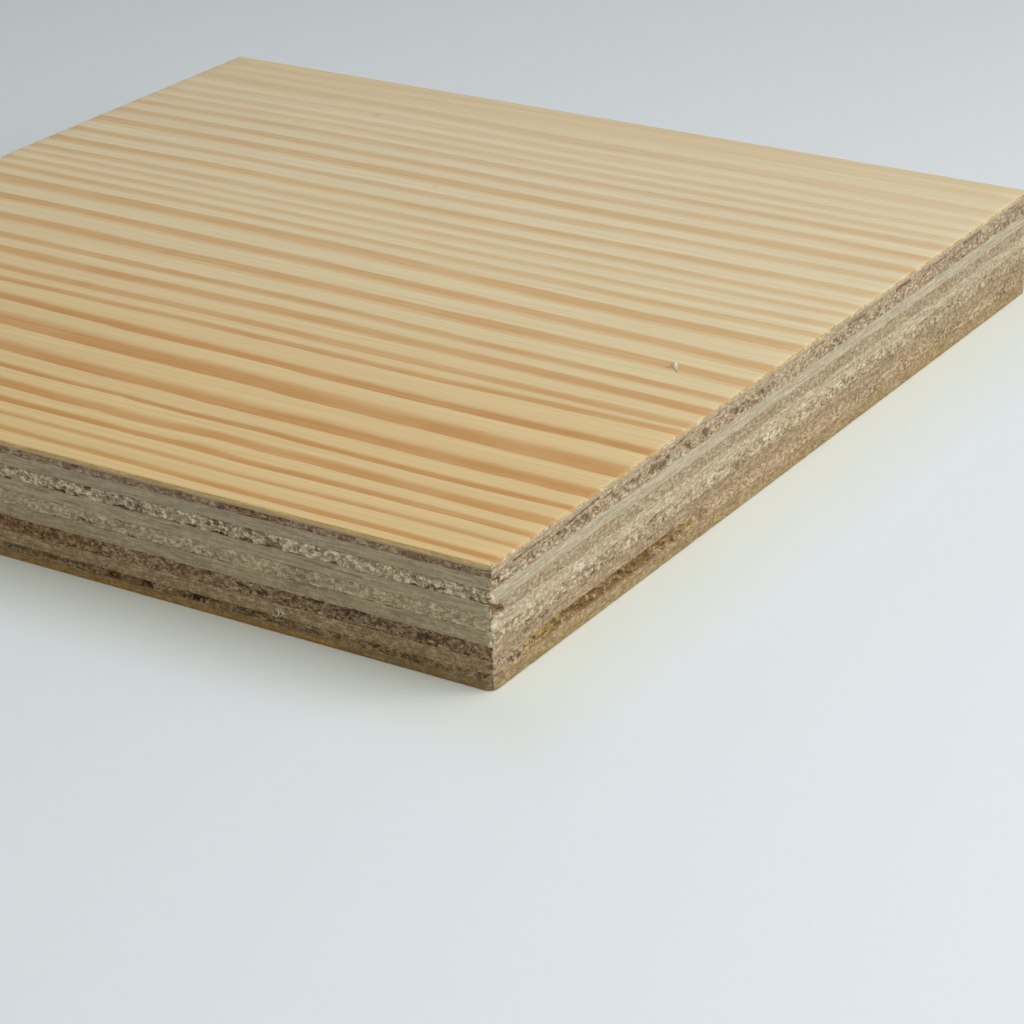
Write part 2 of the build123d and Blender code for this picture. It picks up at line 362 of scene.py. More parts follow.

# Worm hole and broken corner: ply, edge, start and end of each stroke, its half breadth and depth
# Each gouge is also painted dark inside: painted shade, and on the broken corner the darker wood laid bare
gouges = [
    ("long_ply_3", "front", (1.1, 15.75), (2.2, 14.6), 0.20, 1.2),
    ("long_ply_5", "front", (0.2, 11.5), (1.2, 11.35), 0.62, 0.9),
    ("long_ply_5", "front", (0.5, 11.1), (2.6, 10.9), 0.30, 0.7),
    ("long_ply_5", "left", (-0.5, 11.45), (0.0, 11.4), 0.45, 0.4),
]


# Noise that gives the same field every run

def lattice(across, up, layer, seed):
    """A number from 0 to 1 for each whole-numbered cell."""
    mixed = (across * 374761393 + up * 668265263 + layer * 2147483647 + seed * 974634777) & 0xFFFFFFFF
    mixed = ((mixed ^ (mixed >> 13)) * 1274126177) & 0xFFFFFFFF
    return ((mixed ^ (mixed >> 16)) & 0xFFFFFF) / 0xFFFFFF


def lumps(points, size, seed):
    """Smooth noise from 0 to 1 at (along, up, layer) points, with lumps of a size along and up."""
    scaled = points[:, :2] / size
    cells = np.floor(scaled).astype(np.int64)
    share = scaled - cells
    share = share * share * (3 - 2 * share)
    layer = points[:, 2].astype(np.int64)
    rows = []
    for step_up in (0, 1):
        first, second = (lattice(cells[:, 0] + step, cells[:, 1] + step_up, layer, seed) for step in (0, 1))
        rows.append(first + (second - first) * share[:, 0])
    return rows[0] + (rows[1] - rows[0]) * share[:, 1]


def rough(points, size, seed, octaves=3):
    """Noise of several finer and weaker layers, from 0 to 1."""
    size = np.asarray(size, float)
    total = sum(lumps(points, size / 2**octave, seed + octave) / 2**octave for octave in range(octaves))
    return total / (2 - 0.5 ** (octaves - 1))


def ease(low, high, value):
    """Smooth step from 0 at low to 1 at high."""
    share = np.clip((value - low) / (high - low), 0, 1)
    return share * share * (3 - 2 * share)


# Selecting and reading meshes

def places(piece):
    """Vertex places of a piece in millimetres."""
    flat = np.empty(len(piece.data.vertices) * 3, np.float32)
    piece.data.vertices.foreach_get("co", flat)
    return flat.reshape(-1, 3).astype(float) / MM


def only(piece):
    """Make a piece the only one selected, and the active one."""
    bpy.ops.object.select_all(action="DESELECT")
    piece.select_set(True)
    bpy.context.view_layer.objects.active = piece


def edge_ends(mesh):
    ends = np.empty(len(mesh.edges) * 2, np.int32)
    mesh.edges.foreach_get("vertices", ends)
    return ends.reshape(-1, 2)


def pick_edges(piece, test):
    """Select the edges that pass a test of their middles and directions, and go into edit mode."""
    at = places(piece)[edge_ends(piece.data)]
    chosen = test(at.mean(1), at[:, 1] - at[:, 0])
    clear_selection(piece.data)
    piece.data.edges.foreach_set("select", chosen)
    bpy.context.tool_settings.mesh_select_mode = (False, True, False)
    bpy.ops.object.mode_set(mode="EDIT")


def pick_faces(piece, test):
    """Select the faces that pass a test of their middles and normals, and go into edit mode."""
    mesh = piece.data
    middles = np.empty(len(mesh.polygons) * 3, np.float32)
    normals = np.empty(len(mesh.polygons) * 3, np.float32)
    mesh.polygons.foreach_get("center", middles)
    mesh.polygons.foreach_get("normal", normals)
    chosen = test(middles.reshape(-1, 3) / MM, normals.reshape(-1, 3))
    clear_selection(mesh)
    mesh.polygons.foreach_set("select", chosen)
    bpy.context.tool_settings.mesh_select_mode = (False, False, True)
    bpy.ops.object.mode_set(mode="EDIT")


def clear_selection(mesh):
    mesh.vertices.foreach_set("select", np.zeros(len(mesh.vertices), bool))
    mesh.edges.foreach_set("select", np.zeros(len(mesh.edges), bool))
    mesh.polygons.foreach_set("select", np.zeros(len(mesh.polygons), bool))


def done():
    bpy.ops.object.mode_set(mode="OBJECT")


def upright(way):
    return np.abs(way[:, 2]) > shortest_upright


# The plies

def blank(ply):
    """A block the size of one ply, its upright corners and outer rim rounded."""
    low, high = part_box(ply.node)
    bpy.ops.object.select_all(action="DESELECT")
    bpy.ops.mesh.primitive_cube_add(size=1, location=(low + high) / 2, scale=high - low)
    piece = bpy.context.object
    piece.name = "sawn_" + ply.node
    bpy.ops.object.transform_apply(location=True, rotation=True, scale=True)
    worn = ply.node == "back_veneer"
    pick_edges(piece, lambda at, way: upright(way) & (at[:, 0] < 0) & (at[:, 1] < 0))
    if worn:
        bpy.ops.mesh.bevel(offset=worn_corner_radius * MM, segments=worn_corner_segments)
    else:
        bpy.ops.mesh.bevel(offset=corner_radius * MM, segments=corner_segments)
    done()
    pick_edges(piece, lambda at, way: upright(way) & ((at[:, 0] > 0) | (at[:, 1] > 0)))
    bpy.ops.mesh.bevel(offset=corner_radius * MM, segments=corner_segments)
    done()
    if ply.node == "face_veneer":
        pick_edges(piece, lambda at, way: at[:, 2] > ply.high - exact)
        bpy.ops.mesh.bevel(offset=face_rim_radius * MM, segments=rim_segments)
        done()
    if worn:
        pick_edges(piece, lambda at, way: at[:, 2] < ply.low + exact)
        bpy.ops.mesh.bevel(offset=back_rim_radius * MM, segments=rim_segments)
        done()
    return piece


def open_band(ply):
    """The sawn walls of a ply as an open band of small cells."""
    piece = blank(ply)
    pick_faces(piece, lambda at, normal: np.abs(normal[:, 2]) > 0.99)
    bpy.ops.mesh.delete(type="ONLY_FACE")
    done()
    pick_edges(piece, lambda at, way: upright(way))
    bpy.ops.mesh.subdivide(number_cuts=ply.rows - 1)
    done()
    near, far = (even_cell, even_cell) if ply.node == "face_veneer" else (near_cell, far_cell)
    for axis in (0, 1):
        for side, cell in ((-1, near), (1, far)):
            wall = lambda at, way: (
                (np.abs(way[:, axis]) > longest_corner_edge) & (at[:, 1 - axis] * side > 0))
            second_cuts = round(sheet_size[axis] / (first_cuts + 1) / cell) - 1
            for cuts in (first_cuts, second_cuts):
                pick_edges(piece, wall)
                bpy.ops.mesh.subdivide(number_cuts=cuts)
                done()
    return piece


def edge_places(at):
    """Which edge each vertex is on, and its place along that edge and up from the underside."""
    distance = np.stack([
        at[:, 1] - sheet_low[1],
        at[:, 0] - sheet_low[0],
        sheet_high[1] - at[:, 1],
        sheet_high[0] - at[:, 0],
    ])
    edge = distance.argmin(0)
    along = np.where(edge % 2 == 0, at[:, 0] - sheet_low[0], at[:, 1] - sheet_low[1])
    return edge, along, at[:, 2]


def stroke(along, height, start, end, half_breadth):
    """1 along a line on an edge, easing to 0 past half its breadth."""
    run = np.array(end) - start
    step_along = along - start[0]
    step_height = height - start[1]
    share = np.clip((step_along * run[0] + step_height * run[1]) / (run @ run), 0, 1)
    away = np.hypot(step_along - share * run[0], step_height - share * run[1])
    return 1 - ease(half_breadth * 0.8, half_breadth * 1.6 + 0.05, away)


def mark_field(kind, edge, along, height, raggedness):
    """How strongly marks of one kind show at each vertex."""
    amount = mark_kinds[kind][2]
    torn_along = along + amount * raggedness[0]
    torn_height = height + amount * raggedness[1]
    field = np.zeros(len(along))
    for (mark_kind, name), strokes in marks.items():
        if mark_kind == kind:
            here = edge == EDGES.index(name)
            for start, end, half_breadth, strength in strokes:
                mark = stroke(torn_along[here], torn_height[here], start, end, half_breadth)
                field[here] = np.maximum(field[here], strength * mark)
    return field


def broken_out(ply, edge, along, height, crumb):
    """Depth in mm of a ply's scoops and gouges, and how dark they are painted: painted shade in the
    hollows, and the darker wood bared in a broken corner. Some crumbs stay in the scoops.
    """
    depth = np.zeros(len(along))
    dark = np.zeros(len(along))
    for name in EDGES:
        here = edge == EDGES.index(name)
        for (start, length), (low, high), middle_depth, darkness in scoops.get((ply.node, name), []):
            bow = np.clip(1 - ((along - start) / length * 2 - 1) ** 2, 0, 1)
            band = ease(low - 0.3, low - 0.1, height) * (1 - ease(high, high + 0.12, height))
            scoop = here * bow * band * ease(0.22, 0.48, crumb)
            depth = np.maximum(depth, middle_depth * scoop)
            dark = np.maximum(dark, darkness * ease(0.1, 0.6, scoop))
    for node, name, start, end, half_breadth, middle_depth in gouges:
        if node == ply.node:
            gouge = (edge == EDGES.index(name)) * stroke(along, height, start, end, half_breadth)
            depth = np.maximum(depth, middle_depth * gouge)
            dark = np.maximum(dark, gouge)
    return depth, dark


def torn_end_grain(ply, points, seed):
    """Crumbs of a ply's end grain, and where it is torn: in patches, between crumbs and along crevices."""
    crumb = rough(points, crumb_lumps, seed, 2)
    crevice = 1 - ease(0.0, 0.06, np.abs(rough(points, crevice_lumps, seed + 10) - 0.5))
    patch = rough(points, patch_lumps, seed + 20, 2)
    bar = 0.86 - 0.36 * ply.torn_share - 0.5 * (patch - 0.5)
    return crumb, np.maximum(ease(bar, bar + 0.12, crumb), crevice * ease(0.45, 0.6, patch))


def carve(ply, piece):
    """Tear the sawn edges of a ply: hollows go in, tufts stand out, and both are kept as attributes. The
    hollows are also painted darker, as painted shade.
    """
    at = places(piece)
    edge, along, height = edge_places(at)
    end_edge = 1 if ply.grain == "x" else 0
    end = (edge % 2 == end_edge).astype(float)
    seed = 100 * (1 + plies.index(ply))
    points = np.stack([along, height, edge], 1)
    crumb, torn = torn_end_grain(ply, points, seed)
    # Side grain breaks in long shallow splinters
    split = ease(0.62, 0.85, rough(points, splinter_lumps, seed + 30))
    saw = rough(points, saw_lumps, seed + 40)
    # Places shifted a little, so that what is cut there has a torn outline
    raggedness = [
        0.9 * (rough(points, along_shift_lumps, seed + 60) - 0.5),
        0.5 * (rough(points, height_shift_lumps, seed + 67) - 0.5),
    ]
    torn_along = along + 2.4 * raggedness[0]
    torn_height = height + 2.0 * raggedness[1]
    gone, dark = broken_out(ply, edge, torn_along, torn_height, crumb)
    # The near corner is frayed all the way up
    from_corner = np.hypot(at[:, 0] - sheet_low[0], at[:, 1] - sheet_low[1])
    frayed = ease(0.40, 0.65, rough(points, fray_lumps, seed + 80))
    fray = (1 - ease(corner_radius, worn_corner_radius, from_corner)) * frayed
    end_depth = ply.torn_depth * torn + end_saw_depth * saw
    side_depth = splinter_depth * split + side_saw_depth * saw
    depth = end * end_depth + (1 - end) * side_depth + fray_depth * fray + gone
    # Painted shade: torn end grain is painted darker where it is torn in, more so the deeper the tear
    dark = np.maximum(dark, end * torn * min(0.8, ply.torn_depth / 0.25))
    tuft = np.maximum(end * ease(0.60, 0.75, 1 - crumb) * ply.torn_share, 0.7 * fray)
    # None at the foot of the sheet, which lies flat
    tuft = tuft * ease(0.35, 0.7, height)
    keep(piece, "end_grain", end)
    keep(piece, "hollow_tone_and_painted_shade", dark)
    keep(piece, "tuft", tuft)
    for kind, (_, cut, _) in mark_kinds.items():
        field = mark_field(kind, edge, along, height, raggedness)
        depth = depth + cut * field
        keep(piece, kind, field)
    push(piece, "torn_in", depth / deepest_cut, -deepest_cut * MM)
    push(piece, "tufts_out", tuft * 0.6, longest_tuft * MM)


def keep(piece, name, values):
    """Store one number for each vertex, for the material to read."""
    attribute = piece.data.attributes.new(name, "FLOAT", "POINT")
    attribute.data.foreach_set("value", np.asarray(values, np.float32))


def push(piece, name, weights, strength):
    """Move vertices along their normals by a Displace modifier, each by its weight."""
    group = piece.vertex_groups.new(name=name)
    for index in np.flatnonzero(weights > least_weight):
        group.add([int(index)], min(1.0, float(weights[index])), "REPLACE")
    modifier = piece.modifiers.new(name, "DISPLACE")
    modifier.vertex_group = name
    modifier.mid_level = 0
    modifier.strength = strength
    only(piece)
    bpy.ops.object.modifier_apply(modifier=name)
    piece.vertex_groups.remove(piece.vertex_groups[name])


def rim_edges(piece, height):
    """Which edges bound an opening at a height."""
    mesh = piece.data
    at = places(piece)[edge_ends(mesh)]
    loops = np.empty(len(mesh.loops), np.int32)
    mesh.loops.foreach_get("edge_index", loops)
    faces = np.bincount(loops, minlength=len(mesh.edges))
    return (faces == 1) & (np.abs(at[:, :, 2] - height).max(1) < rim_slack)


def close_flat(piece, height):
    """Close the open end of a band at a height with one flat face."""
    pick_edges(piece, lambda at, way: rim_edges(piece, height))
    bpy.ops.mesh.edge_face_add()
    done()


def close_show_face(piece, height):
    """Lay the show face over the band: a flat border, strips from front to rear, and the two sides."""
    pick_edges(piece, lambda at, way: rim_edges(piece, height))
    bpy.ops.mesh.extrude_edges_move()
    shrink = [1 - 2 * face_border / sheet_size[0], 1 - 2 * face_border / sheet_size[1], 0]
    bpy.ops.transform.resize(value=shrink, center_override=(0, 0, height * MM))
    done()
    half = sheet_size / 2 - face_border - corner_radius
    pick_edges(piece, lambda at, way: (
        rim_edges(piece, height) & (np.abs(at[:, 0]) < half[0]) & (np.abs(at[:, 1]) > half[1])))
    bpy.ops.mesh.bridge_edge_loops(number_cuts=face_rows, interpolation="LINEAR")
    done()
    for side in (-1, 1):
        pick_edges(piece, lambda at, way: rim_edges(piece, height) & (at[:, 0] * side > 0))
        bpy.ops.mesh.edge_face_add()
        done()


def ring_phase(at):
    """Counts up by one from the start of each late wood band to the next, half of it within the band,
    and how dark the nearest band is."""
    along = at[:, 0] - sheet_low[0]
    back = at[:, 1] - sheet_low[1]
    down = sheet_high[2] - at[:, 2]
    points = np.stack([along, back, np.zeros(len(at))], 1)
    waver = 0.8 * (rough(points, (9.0, 22.0), 900) - 0.5)
    # The lines bend more round one place near the left edge
    kink = 1.2 * (rough(points, (5.0, 11.0), 920) - 0.5)
    kink = kink * (1 - ease(4, 12, np.abs(along - kink_place[0])))
    kink = kink * (1 - ease(12, 30, np.abs(back - kink_place[1])))
    place = along + waver + kink + lean * down
    knots = []
    for starts, width, darkness in late_bands:
        begin = np.interp(back, band_stations, starts)
        knots += [begin, begin + width]
    phase = sum(0.5 * np.clip((place - low) / (high - low), 0, 1) for low, high in zip(knots, knots[1:]))
    nearest = np.clip(np.floor(phase + 0.25).astype(int), 0, len(late_bands) - 1)
    return phase, np.array([band[2] for band in late_bands])[nearest]


# Shader pieces

def add_node(tree, kind, **values):
    """A shader node with its properties and inputs set by name."""
    node = tree.nodes.new(kind)
    for name, value in values.items():
        if hasattr(node, name):
            setattr(node, name, value)
        else:
            node.inputs[name.replace("_", " ")].default_value = value
    return node


def feed(tree, socket, value):
    """Link a socket from another, or set its own value."""
    if isinstance(value, bpy.types.NodeSocket):
        tree.links.new(value, socket)
    elif socket.type == "RGBA":
        socket.default_value = (*value, 1)
    else:
        socket.default_value = value


def maths(tree, operation, first, second=0.0, third=None, clamp=False):
    node = add_node(tree, "ShaderNodeMath", operation=operation, use_clamp=clamp)
    feed(tree, node.inputs[0], first)
    feed(tree, node.inputs[1], second)
    if third is not None:
        feed(tree, node.inputs[2], third)
    return node.outputs[0]


def times(tree, first, second):
    return maths(tree, "MULTIPLY", first, second)


def blend(tree, share, first, second):
    """Mix two colours."""
    node = add_node(tree, "ShaderNodeMix", data_type="RGBA")
    for index, value in ((0, share), (6, first), (7, second)):
        feed(tree, node.inputs[index], value)
    return node.outputs[2]


def between(tree, share, first, second):
    """Mix two numbers."""
    node = add_node(tree, "ShaderNodeMix", data_type="FLOAT")
    for index, value in ((0, share), (2, first), (3, second)):
        feed(tree, node.inputs[index], value)
    return node.outputs[0]


def brighten(tree, colour, factor):
    node = add_node(tree, "ShaderNodeVectorMath", operation="SCALE")
    feed(tree, node.inputs[0], colour)
    feed(tree, node.inputs["Scale"], factor)
    return node.outputs[0]


def spread(tree, value, low, high, to_low=0.0, to_high=1.0):
    """Map a value smoothly from one range to another."""
    node = add_node(tree, "ShaderNodeMapRange", interpolation_type="SMOOTHSTEP")
    for name, amount in (("Value", value), ("From Min", low), ("From Max", high),
                         ("To Min", to_low), ("To Max", to_high)):
        feed(tree, node.inputs[name], amount)
    return node.outputs[0]


def stretch(tree, vector, scale):
    node = add_node(tree, "ShaderNodeVectorMath", operation="MULTIPLY")
    feed(tree, node.inputs[0], vector)
    feed(tree, node.inputs[1], scale)
    return node.outputs[0]


def noise(tree, vector, scale, detail=3.0, roughness=0.6, distortion=0.0):
    node = add_node(tree, "ShaderNodeTexNoise", Scale=scale, Detail=detail, Roughness=roughness,
                    Distortion=distortion)
    feed(tree, node.inputs["Vector"], vector)
    return node.outputs["Fac"]


def read(tree, name):
    return add_node(tree, "ShaderNodeAttribute", attribute_name=name).outputs["Fac"]


def axes(tree, vector):
    split = add_node(tree, "ShaderNodeSeparateXYZ")
    tree.links.new(vector, split.inputs[0])
    return split.outputs


def new_group(name, takes, gives):
    """An empty node group, with the names and kinds of its inputs and outputs."""
    tree = bpy.data.node_groups.new(name, "ShaderNodeTree")
    for sockets, in_out in ((takes, "INPUT"), (gives, "OUTPUT")):
        for label, kind in sockets.items():
            tree.interface.new_socket(label, in_out=in_out, socket_type="NodeSocket" + kind)
    return tree, tree.nodes.new("NodeGroupInput").outputs, tree.nodes.new("NodeGroupOutput").inputs


def fibre_group():
    """Wood fibre along the group's X: streaks, short flecks and broad mottling."""
    tree, given, out = new_group(
        "Wood fibre",
        {"Vector": "Vector", "Fibre Width": "Float", "Grain Length": "Float"},
        {"Streaks": "Float", "Flecks": "Float", "Mottle": "Float"},
    )
    across = maths(tree, "DIVIDE", 1.0, given["Fibre Width"])
    lengthwise = maths(tree, "DIVIDE", 1.0, given["Grain Length"])
    scale = add_node(tree, "ShaderNodeCombineXYZ")
    tree.links.new(lengthwise, scale.inputs[0])
    tree.links.new(across, scale.inputs[1])
    tree.links.new(across, scale.inputs[2])
    fibre = stretch(tree, given["Vector"], scale.outputs[0])
    feed(tree, out["Streaks"], spread(tree, noise(tree, fibre, 0.6, 3.0, 0.65, 0.4), 0.3, 0.7))
    short = stretch(tree, fibre, (4.0, 0.5, 0.5))
    feed(tree, out["Flecks"], spread(tree, noise(tree, short, 1.0, 2.0), 0.66, 0.74))
    feed(tree, out["Mottle"], spread(tree, noise(tree, fibre, 0.08, 2.0, 0.5), 0.35, 0.65))
    return tree


def crumb_group():
    """Torn wood on a sawn edge: pale and dark crumbs, pits and thin crevices, gathered in patches."""
    tree, given, out = new_group(
        "Torn wood",
        {"Vector": "Vector", "Crumb Size": "Float"},
        {"Crumbs": "Float", "Pits": "Float", "Crevices": "Float"},
    )
    flat = stretch(tree, given["Vector"], (0.62, 0.62, 1.0))
    close = brighten(tree, flat, maths(tree, "DIVIDE", 1.0, given["Crumb Size"]))
    crumbs = noise(tree, close, 0.42, 4.0, 0.85, 0.2)
    feed(tree, out["Crumbs"], spread(tree, crumbs, 0.37, 0.63))
    patches = spread(tree, noise(tree, flat, 0.16, 2.0), 0.40, 0.60)
    pits = noise(tree, close, 0.5, 3.0, 0.65, 0.4)
    bar = between(tree, patches, 0.36, 0.44)
    feed(tree, out["Pits"], spread(tree, pits, bar, maths(tree, "SUBTRACT", bar, 0.06)))
    wrinkles = noise(tree, close, 0.3, 2.0, 0.6, 0.8)
    away = maths(tree, "ABSOLUTE", maths(tree, "SUBTRACT", wrinkles, 0.5))
    feed(tree, out["Crevices"], times(tree, spread(tree, away, 0.022, 0.0), patches))
    return tree


def place_group(tree, group, **values):
    node = tree.nodes.new("ShaderNodeGroup")
    node.node_tree = group
    for name, value in values.items():
        feed(tree, node.inputs[name.replace("_", " ")], value)
    return node.outputs


def new_material(name):
    material = bpy.data.materials.new(name)
    material.use_nodes = True
    tree = material.node_tree
    return material, tree, tree.nodes["Principled BSDF"]


def object_mm(tree):
    """Object coordinates in millimetres."""
    coordinates = add_node(tree, "ShaderNodeTexCoord")
    return stretch(tree, coordinates.outputs["Object"], (1 / MM,) * 3)


def grain_vector(tree, vector, grain):
    """Turn coordinates so that the grain runs along X."""
    turn = add_node(tree, "ShaderNodeMapping", Rotation=(0, 0, -math.pi / 2 if grain == "y" else 0))
    tree.links.new(vector, turn.inputs["Vector"])
    return turn.outputs[0]


# Colours on the sawn edges: tufts, the glue lines, the ends of the late wood in the face veneer's
# edge, and the pale line under them
tuft_colour = (0.70, 0.59, 0.44)
glue_colour = (0.14, 0.08, 0.04)
band_end_colour = (0.62, 0.30, 0.10)
pale_line_colour = (0.46, 0.38, 0.27)

# Tints: mottled side grain, dark crumbs, warmer than the wood, and pale crumbs, greyer than it
mottle_tint = (0.98, 0.93, 0.88)
dark_crumb_tint = (1.05, 0.98, 0.88)
pale_crumb_tint = (0.97, 1.01, 1.07)

# Width and length of the fibres in mm, on the sawn edges, the show face and the underside
edge_fibre = {"Fibre_Width": 0.22, "Grain_Length": 3.6}
face_fibre = {"Fibre_Width": 0.22, "Grain_Length": 30.0}
back_fibre = {"Fibre_Width": 0.25, "Grain_Length": 20.0}
back_stripe = {"Fibre_Width": 2.4, "Grain_Length": 240.0}

# Bump of every wood surface: how deep, in mm, and how strong
relief_depth = 0.25
relief_strength = 0.8


def sawn_edge_group(fibres, crumbs):
    """A ply's sawn edges: side grain or end grain, its crumbs and pits, then its marks, the painted shade
    in its hollows, and its glue lines.
    """
    tree, given, out = new_group(
        "Sawn edge",
        {"Vector": "Vector", "Grain Vector": "Vector", "End Colour": "Color", "Side Colour": "Color",
         "Pit Colour": "Color", "End Speckle": "Float", "Side Speckle": "Float", "End Pits": "Float",
         "Side Pits": "Float", "Crumb Size": "Float", "Low": "Float", "High": "Float"},
        {"Colour": "Color", "Relief": "Float", "Mottle": "Float"},
    )
    end = read(tree, "end_grain")
    wood = place_group(tree, fibres, Vector=given["Grain Vector"], **edge_fibre)
    torn = place_group(tree, crumbs, Vector=given["Vector"], Crumb_Size=given["Crumb Size"])
    side = brighten(tree, given["Side Colour"], spread(tree, wood["Streaks"], 0.0, 1.0, 0.84, 1.16))
    side = blend(tree, times(tree, wood["Mottle"], 0.3), side, stretch(tree, side, mottle_tint))
    side = blend(tree, times(tree, wood["Flecks"], 0.4), side, given["Pit Colour"])
    colour = blend(tree, end, side, given["End Colour"])
    for kind in soft_marks:
        colour = blend(tree, read(tree, kind), colour, mark_kinds[kind][0])
    speckle = between(tree, end, given["Side Speckle"], given["End Speckle"])
    swing = times(tree, maths(tree, "SUBTRACT", torn["Crumbs"], 0.5), 2.0)
    colour = brighten(tree, colour, maths(tree, "MULTIPLY_ADD", swing, speckle, 1.0))
    dark_crumbs = stretch(tree, colour, dark_crumb_tint)
    pale_crumbs = stretch(tree, colour, pale_crumb_tint)
    colour = blend(tree, torn["Crumbs"], dark_crumbs, pale_crumbs)
    pitted = between(tree, end, given["Side Pits"], given["End Pits"])
    holes = maths(tree, "MAXIMUM", torn["Pits"], times(tree, torn["Crevices"], 0.7))
    colour = blend(tree, times(tree, holes, pitted), colour, given["Pit Colour"])
    colour = blend(tree, times(tree, read(tree, "tuft"), 0.6), colour, tuft_colour)
    grit = between(tree, torn["Crumbs"], 1.0, 0.6)
    for kind in sharp_marks:
        colour = blend(tree, times(tree, read(tree, kind), grit), colour, mark_kinds[kind][0])
    # Painted shade in the torn hollows, scoops and gouges, in the pit colour
    hollow_tone_and_painted_shade = times(tree, read(tree, "hollow_tone_and_painted_shade"), times(tree, grit, 0.85))
    colour = blend(tree, hollow_tone_and_painted_shade, colour, given["Pit Colour"])
    at = axes(tree, given["Vector"])
    above = maths(tree, "SUBTRACT", at["Z"], given["Low"])
    below = maths(tree, "SUBTRACT", given["High"], at["Z"])
    line = spread(tree, maths(tree, "MINIMUM", above, below), 0.10, 0.02)
    dashes = noise(tree, stretch(tree, given["Vector"], (0.45, 0.45, 0.2)), 1.0, 4.0, 0.7)
    # Glue shows darker on the left edge than on the others
    from_left = maths(tree, "SUBTRACT", at["X"], sheet_low[0])
    dark = times(tree, spread(tree, dashes, 0.46, 0.58), spread(tree, from_left, 0.4, 0.9, 0.75, 0.3))
    feed(tree, out["Colour"], blend(tree, times(tree, line, dark), colour, glue_colour))
    fine = times(tree, wood["Streaks"], 0.12)
    feed(tree, out["Relief"], maths(tree, "MULTIPLY_ADD", torn["Crumbs"], times(tree, speckle, 1.2), fine))
    feed(tree, out["Mottle"], wood["Mottle"])
    return tree


def finish(tree, shader, colour, relief, mottle):
    """Give a dry wood surface its colour, its dull uneven sheen and its fine relief."""
    feed(tree, shader.inputs["Base Color"], colour)
    feed(tree, shader.inputs["Roughness"], spread(tree, mottle, 0.0, 1.0, 0.78, 0.92))
    shader.inputs["Specular IOR Level"].default_value = 0.25
    bump = add_node(tree, "ShaderNodeBump", Strength=relief_strength, Distance=relief_depth * MM)
    feed(tree, bump.inputs["Height"], relief)
    feed(tree, shader.inputs["Normal"], bump.outputs[0])


def edge_material(ply, sawn_edge):
    """Sawn edges of one ply. The face veneer's late wood ends in orange dashes over a pale line."""
    material, tree, shader = new_material(ply.node + "_edge")
    vector = object_mm(tree)
    edge = place_group(
        tree, sawn_edge, Vector=vector, Grain_Vector=grain_vector(tree, vector, ply.grain),
        End_Colour=ply.end, Side_Colour=ply.side, Pit_Colour=ply.pit,
        End_Speckle=ply.speckle[0], Side_Speckle=ply.speckle[1],
        End_Pits=ply.pitted[0], Side_Pits=ply.pitted[1],
        Crumb_Size=ply.crumb, Low=ply.low, High=ply.high)
    colour = edge["Colour"]
    if ply.node == "face_veneer":
        up = axes(tree, vector)["Z"]
        above_line = spread(tree, up, ply.low + 0.2, ply.low + 0.6, 0.0, 0.6)
        colour = blend(tree, times(tree, read(tree, "band_end"), above_line), colour, band_end_colour)
        pale_line = spread(tree, up, ply.low + 0.36, ply.low + 0.22, 0.0, 0.8)
        colour = blend(tree, pale_line, colour, pale_line_colour)
    finish(tree, shader, colour, edge["Relief"], edge["Mottle"])
    return material


# Early and late wood of the show face from left to right: place across the sheet, 0 to 1, and colour
early_wood = [(0.02, (0.77, 0.54, 0.255)), (0.28, (0.78, 0.565, 0.295)), (0.42, (0.795, 0.62, 0.365)),
              (0.58, (0.81, 0.655, 0.415)), (0.90, (0.815, 0.665, 0.44)), (1.0, (0.79, 0.62, 0.39))]
late_wood = [(0.02, (0.60, 0.30, 0.10)), (0.28, (0.60, 0.305, 0.11)), (0.42, (0.67, 0.395, 0.172)),
             (0.58, (0.71, 0.455, 0.215)), (0.80, (0.72, 0.495, 0.277)), (1.0, (0.735, 0.53, 0.31))]

# Soft dark spots on the show face, the last of them a painted shadow beside the splinter: place from the
# near corner, radius and darkness
face_spots_and_splinter_shadow = [((119, 87), 0.7, 0.22), ((147, 118), 1.6, 0.18), ((54, 109), 2.5, 0.12),
              ((72, 106), 2.5, 0.12), ((68.3, 13.3), 0.9, 0.4)]
spot_and_shadow_colour = (0.30, 0.17, 0.09)
face_fleck_colour = (0.66, 0.38, 0.14)
face_mottle_colour = (0.70, 0.43, 0.22)

# Underside: its dark and pale stripes and its flecks
back_dark_colour = (0.44, 0.29, 0.14)
back_pale_colour = (0.60, 0.44, 0.25)
back_fleck_colour = (0.28, 0.16, 0.07)


def across_sheet(tree, share, stops):
    """Colour that changes across the sheet."""
    ramp = add_node(tree, "ShaderNodeValToRGB")
    feed(tree, ramp.inputs[0], share)
    elements = ramp.color_ramp.elements
    for index, (place, colour) in enumerate(stops):
        element = elements[index] if index < 2 else elements.new(place)
        element.position = place
        element.color = (*colour, 1)
    return ramp.outputs[0]


def late_wood_share(tree, vector, across):
    """How much of the show face's wood is late wood. Its bands are sharper at the left of the sheet."""
    waver = noise(tree, stretch(tree, vector, (0.9, 0.12, 0.3)), 1.0, 3.0)
    shift = times(tree, maths(tree, "SUBTRACT", waver, 0.5), 0.10)
    phase = maths(tree, "FRACT", maths(tree, "ADD", read(tree, "band_phase"), shift))
    left_band = times(tree, spread(tree, phase, -0.01, 0.04), spread(tree, phase, 0.62, 0.28))
    soft_rise = maths(tree, "MAXIMUM", spread(tree, phase, 0.0, 0.14), 0.5)
    right_band = times(tree, soft_rise, spread(tree, phase, 0.55, 0.42))
    right_band = maths(tree, "MAXIMUM", right_band, spread(tree, phase, 0.90, 1.0, 0.0, 0.5))
    soften = sheet_low[0] + bands_soften
    soft = spread(tree, across, soften - 10, soften + 10)
    patches = noise(tree, stretch(tree, vector, (0.12, 0.05, 0.1)), 1.0, 2.0)
    strength = times(tree, read(tree, "band_strength"), spread(tree, patches, 0.35, 0.65, 0.85, 1.1))
    return times(tree, between(tree, soft, left_band, right_band), strength)


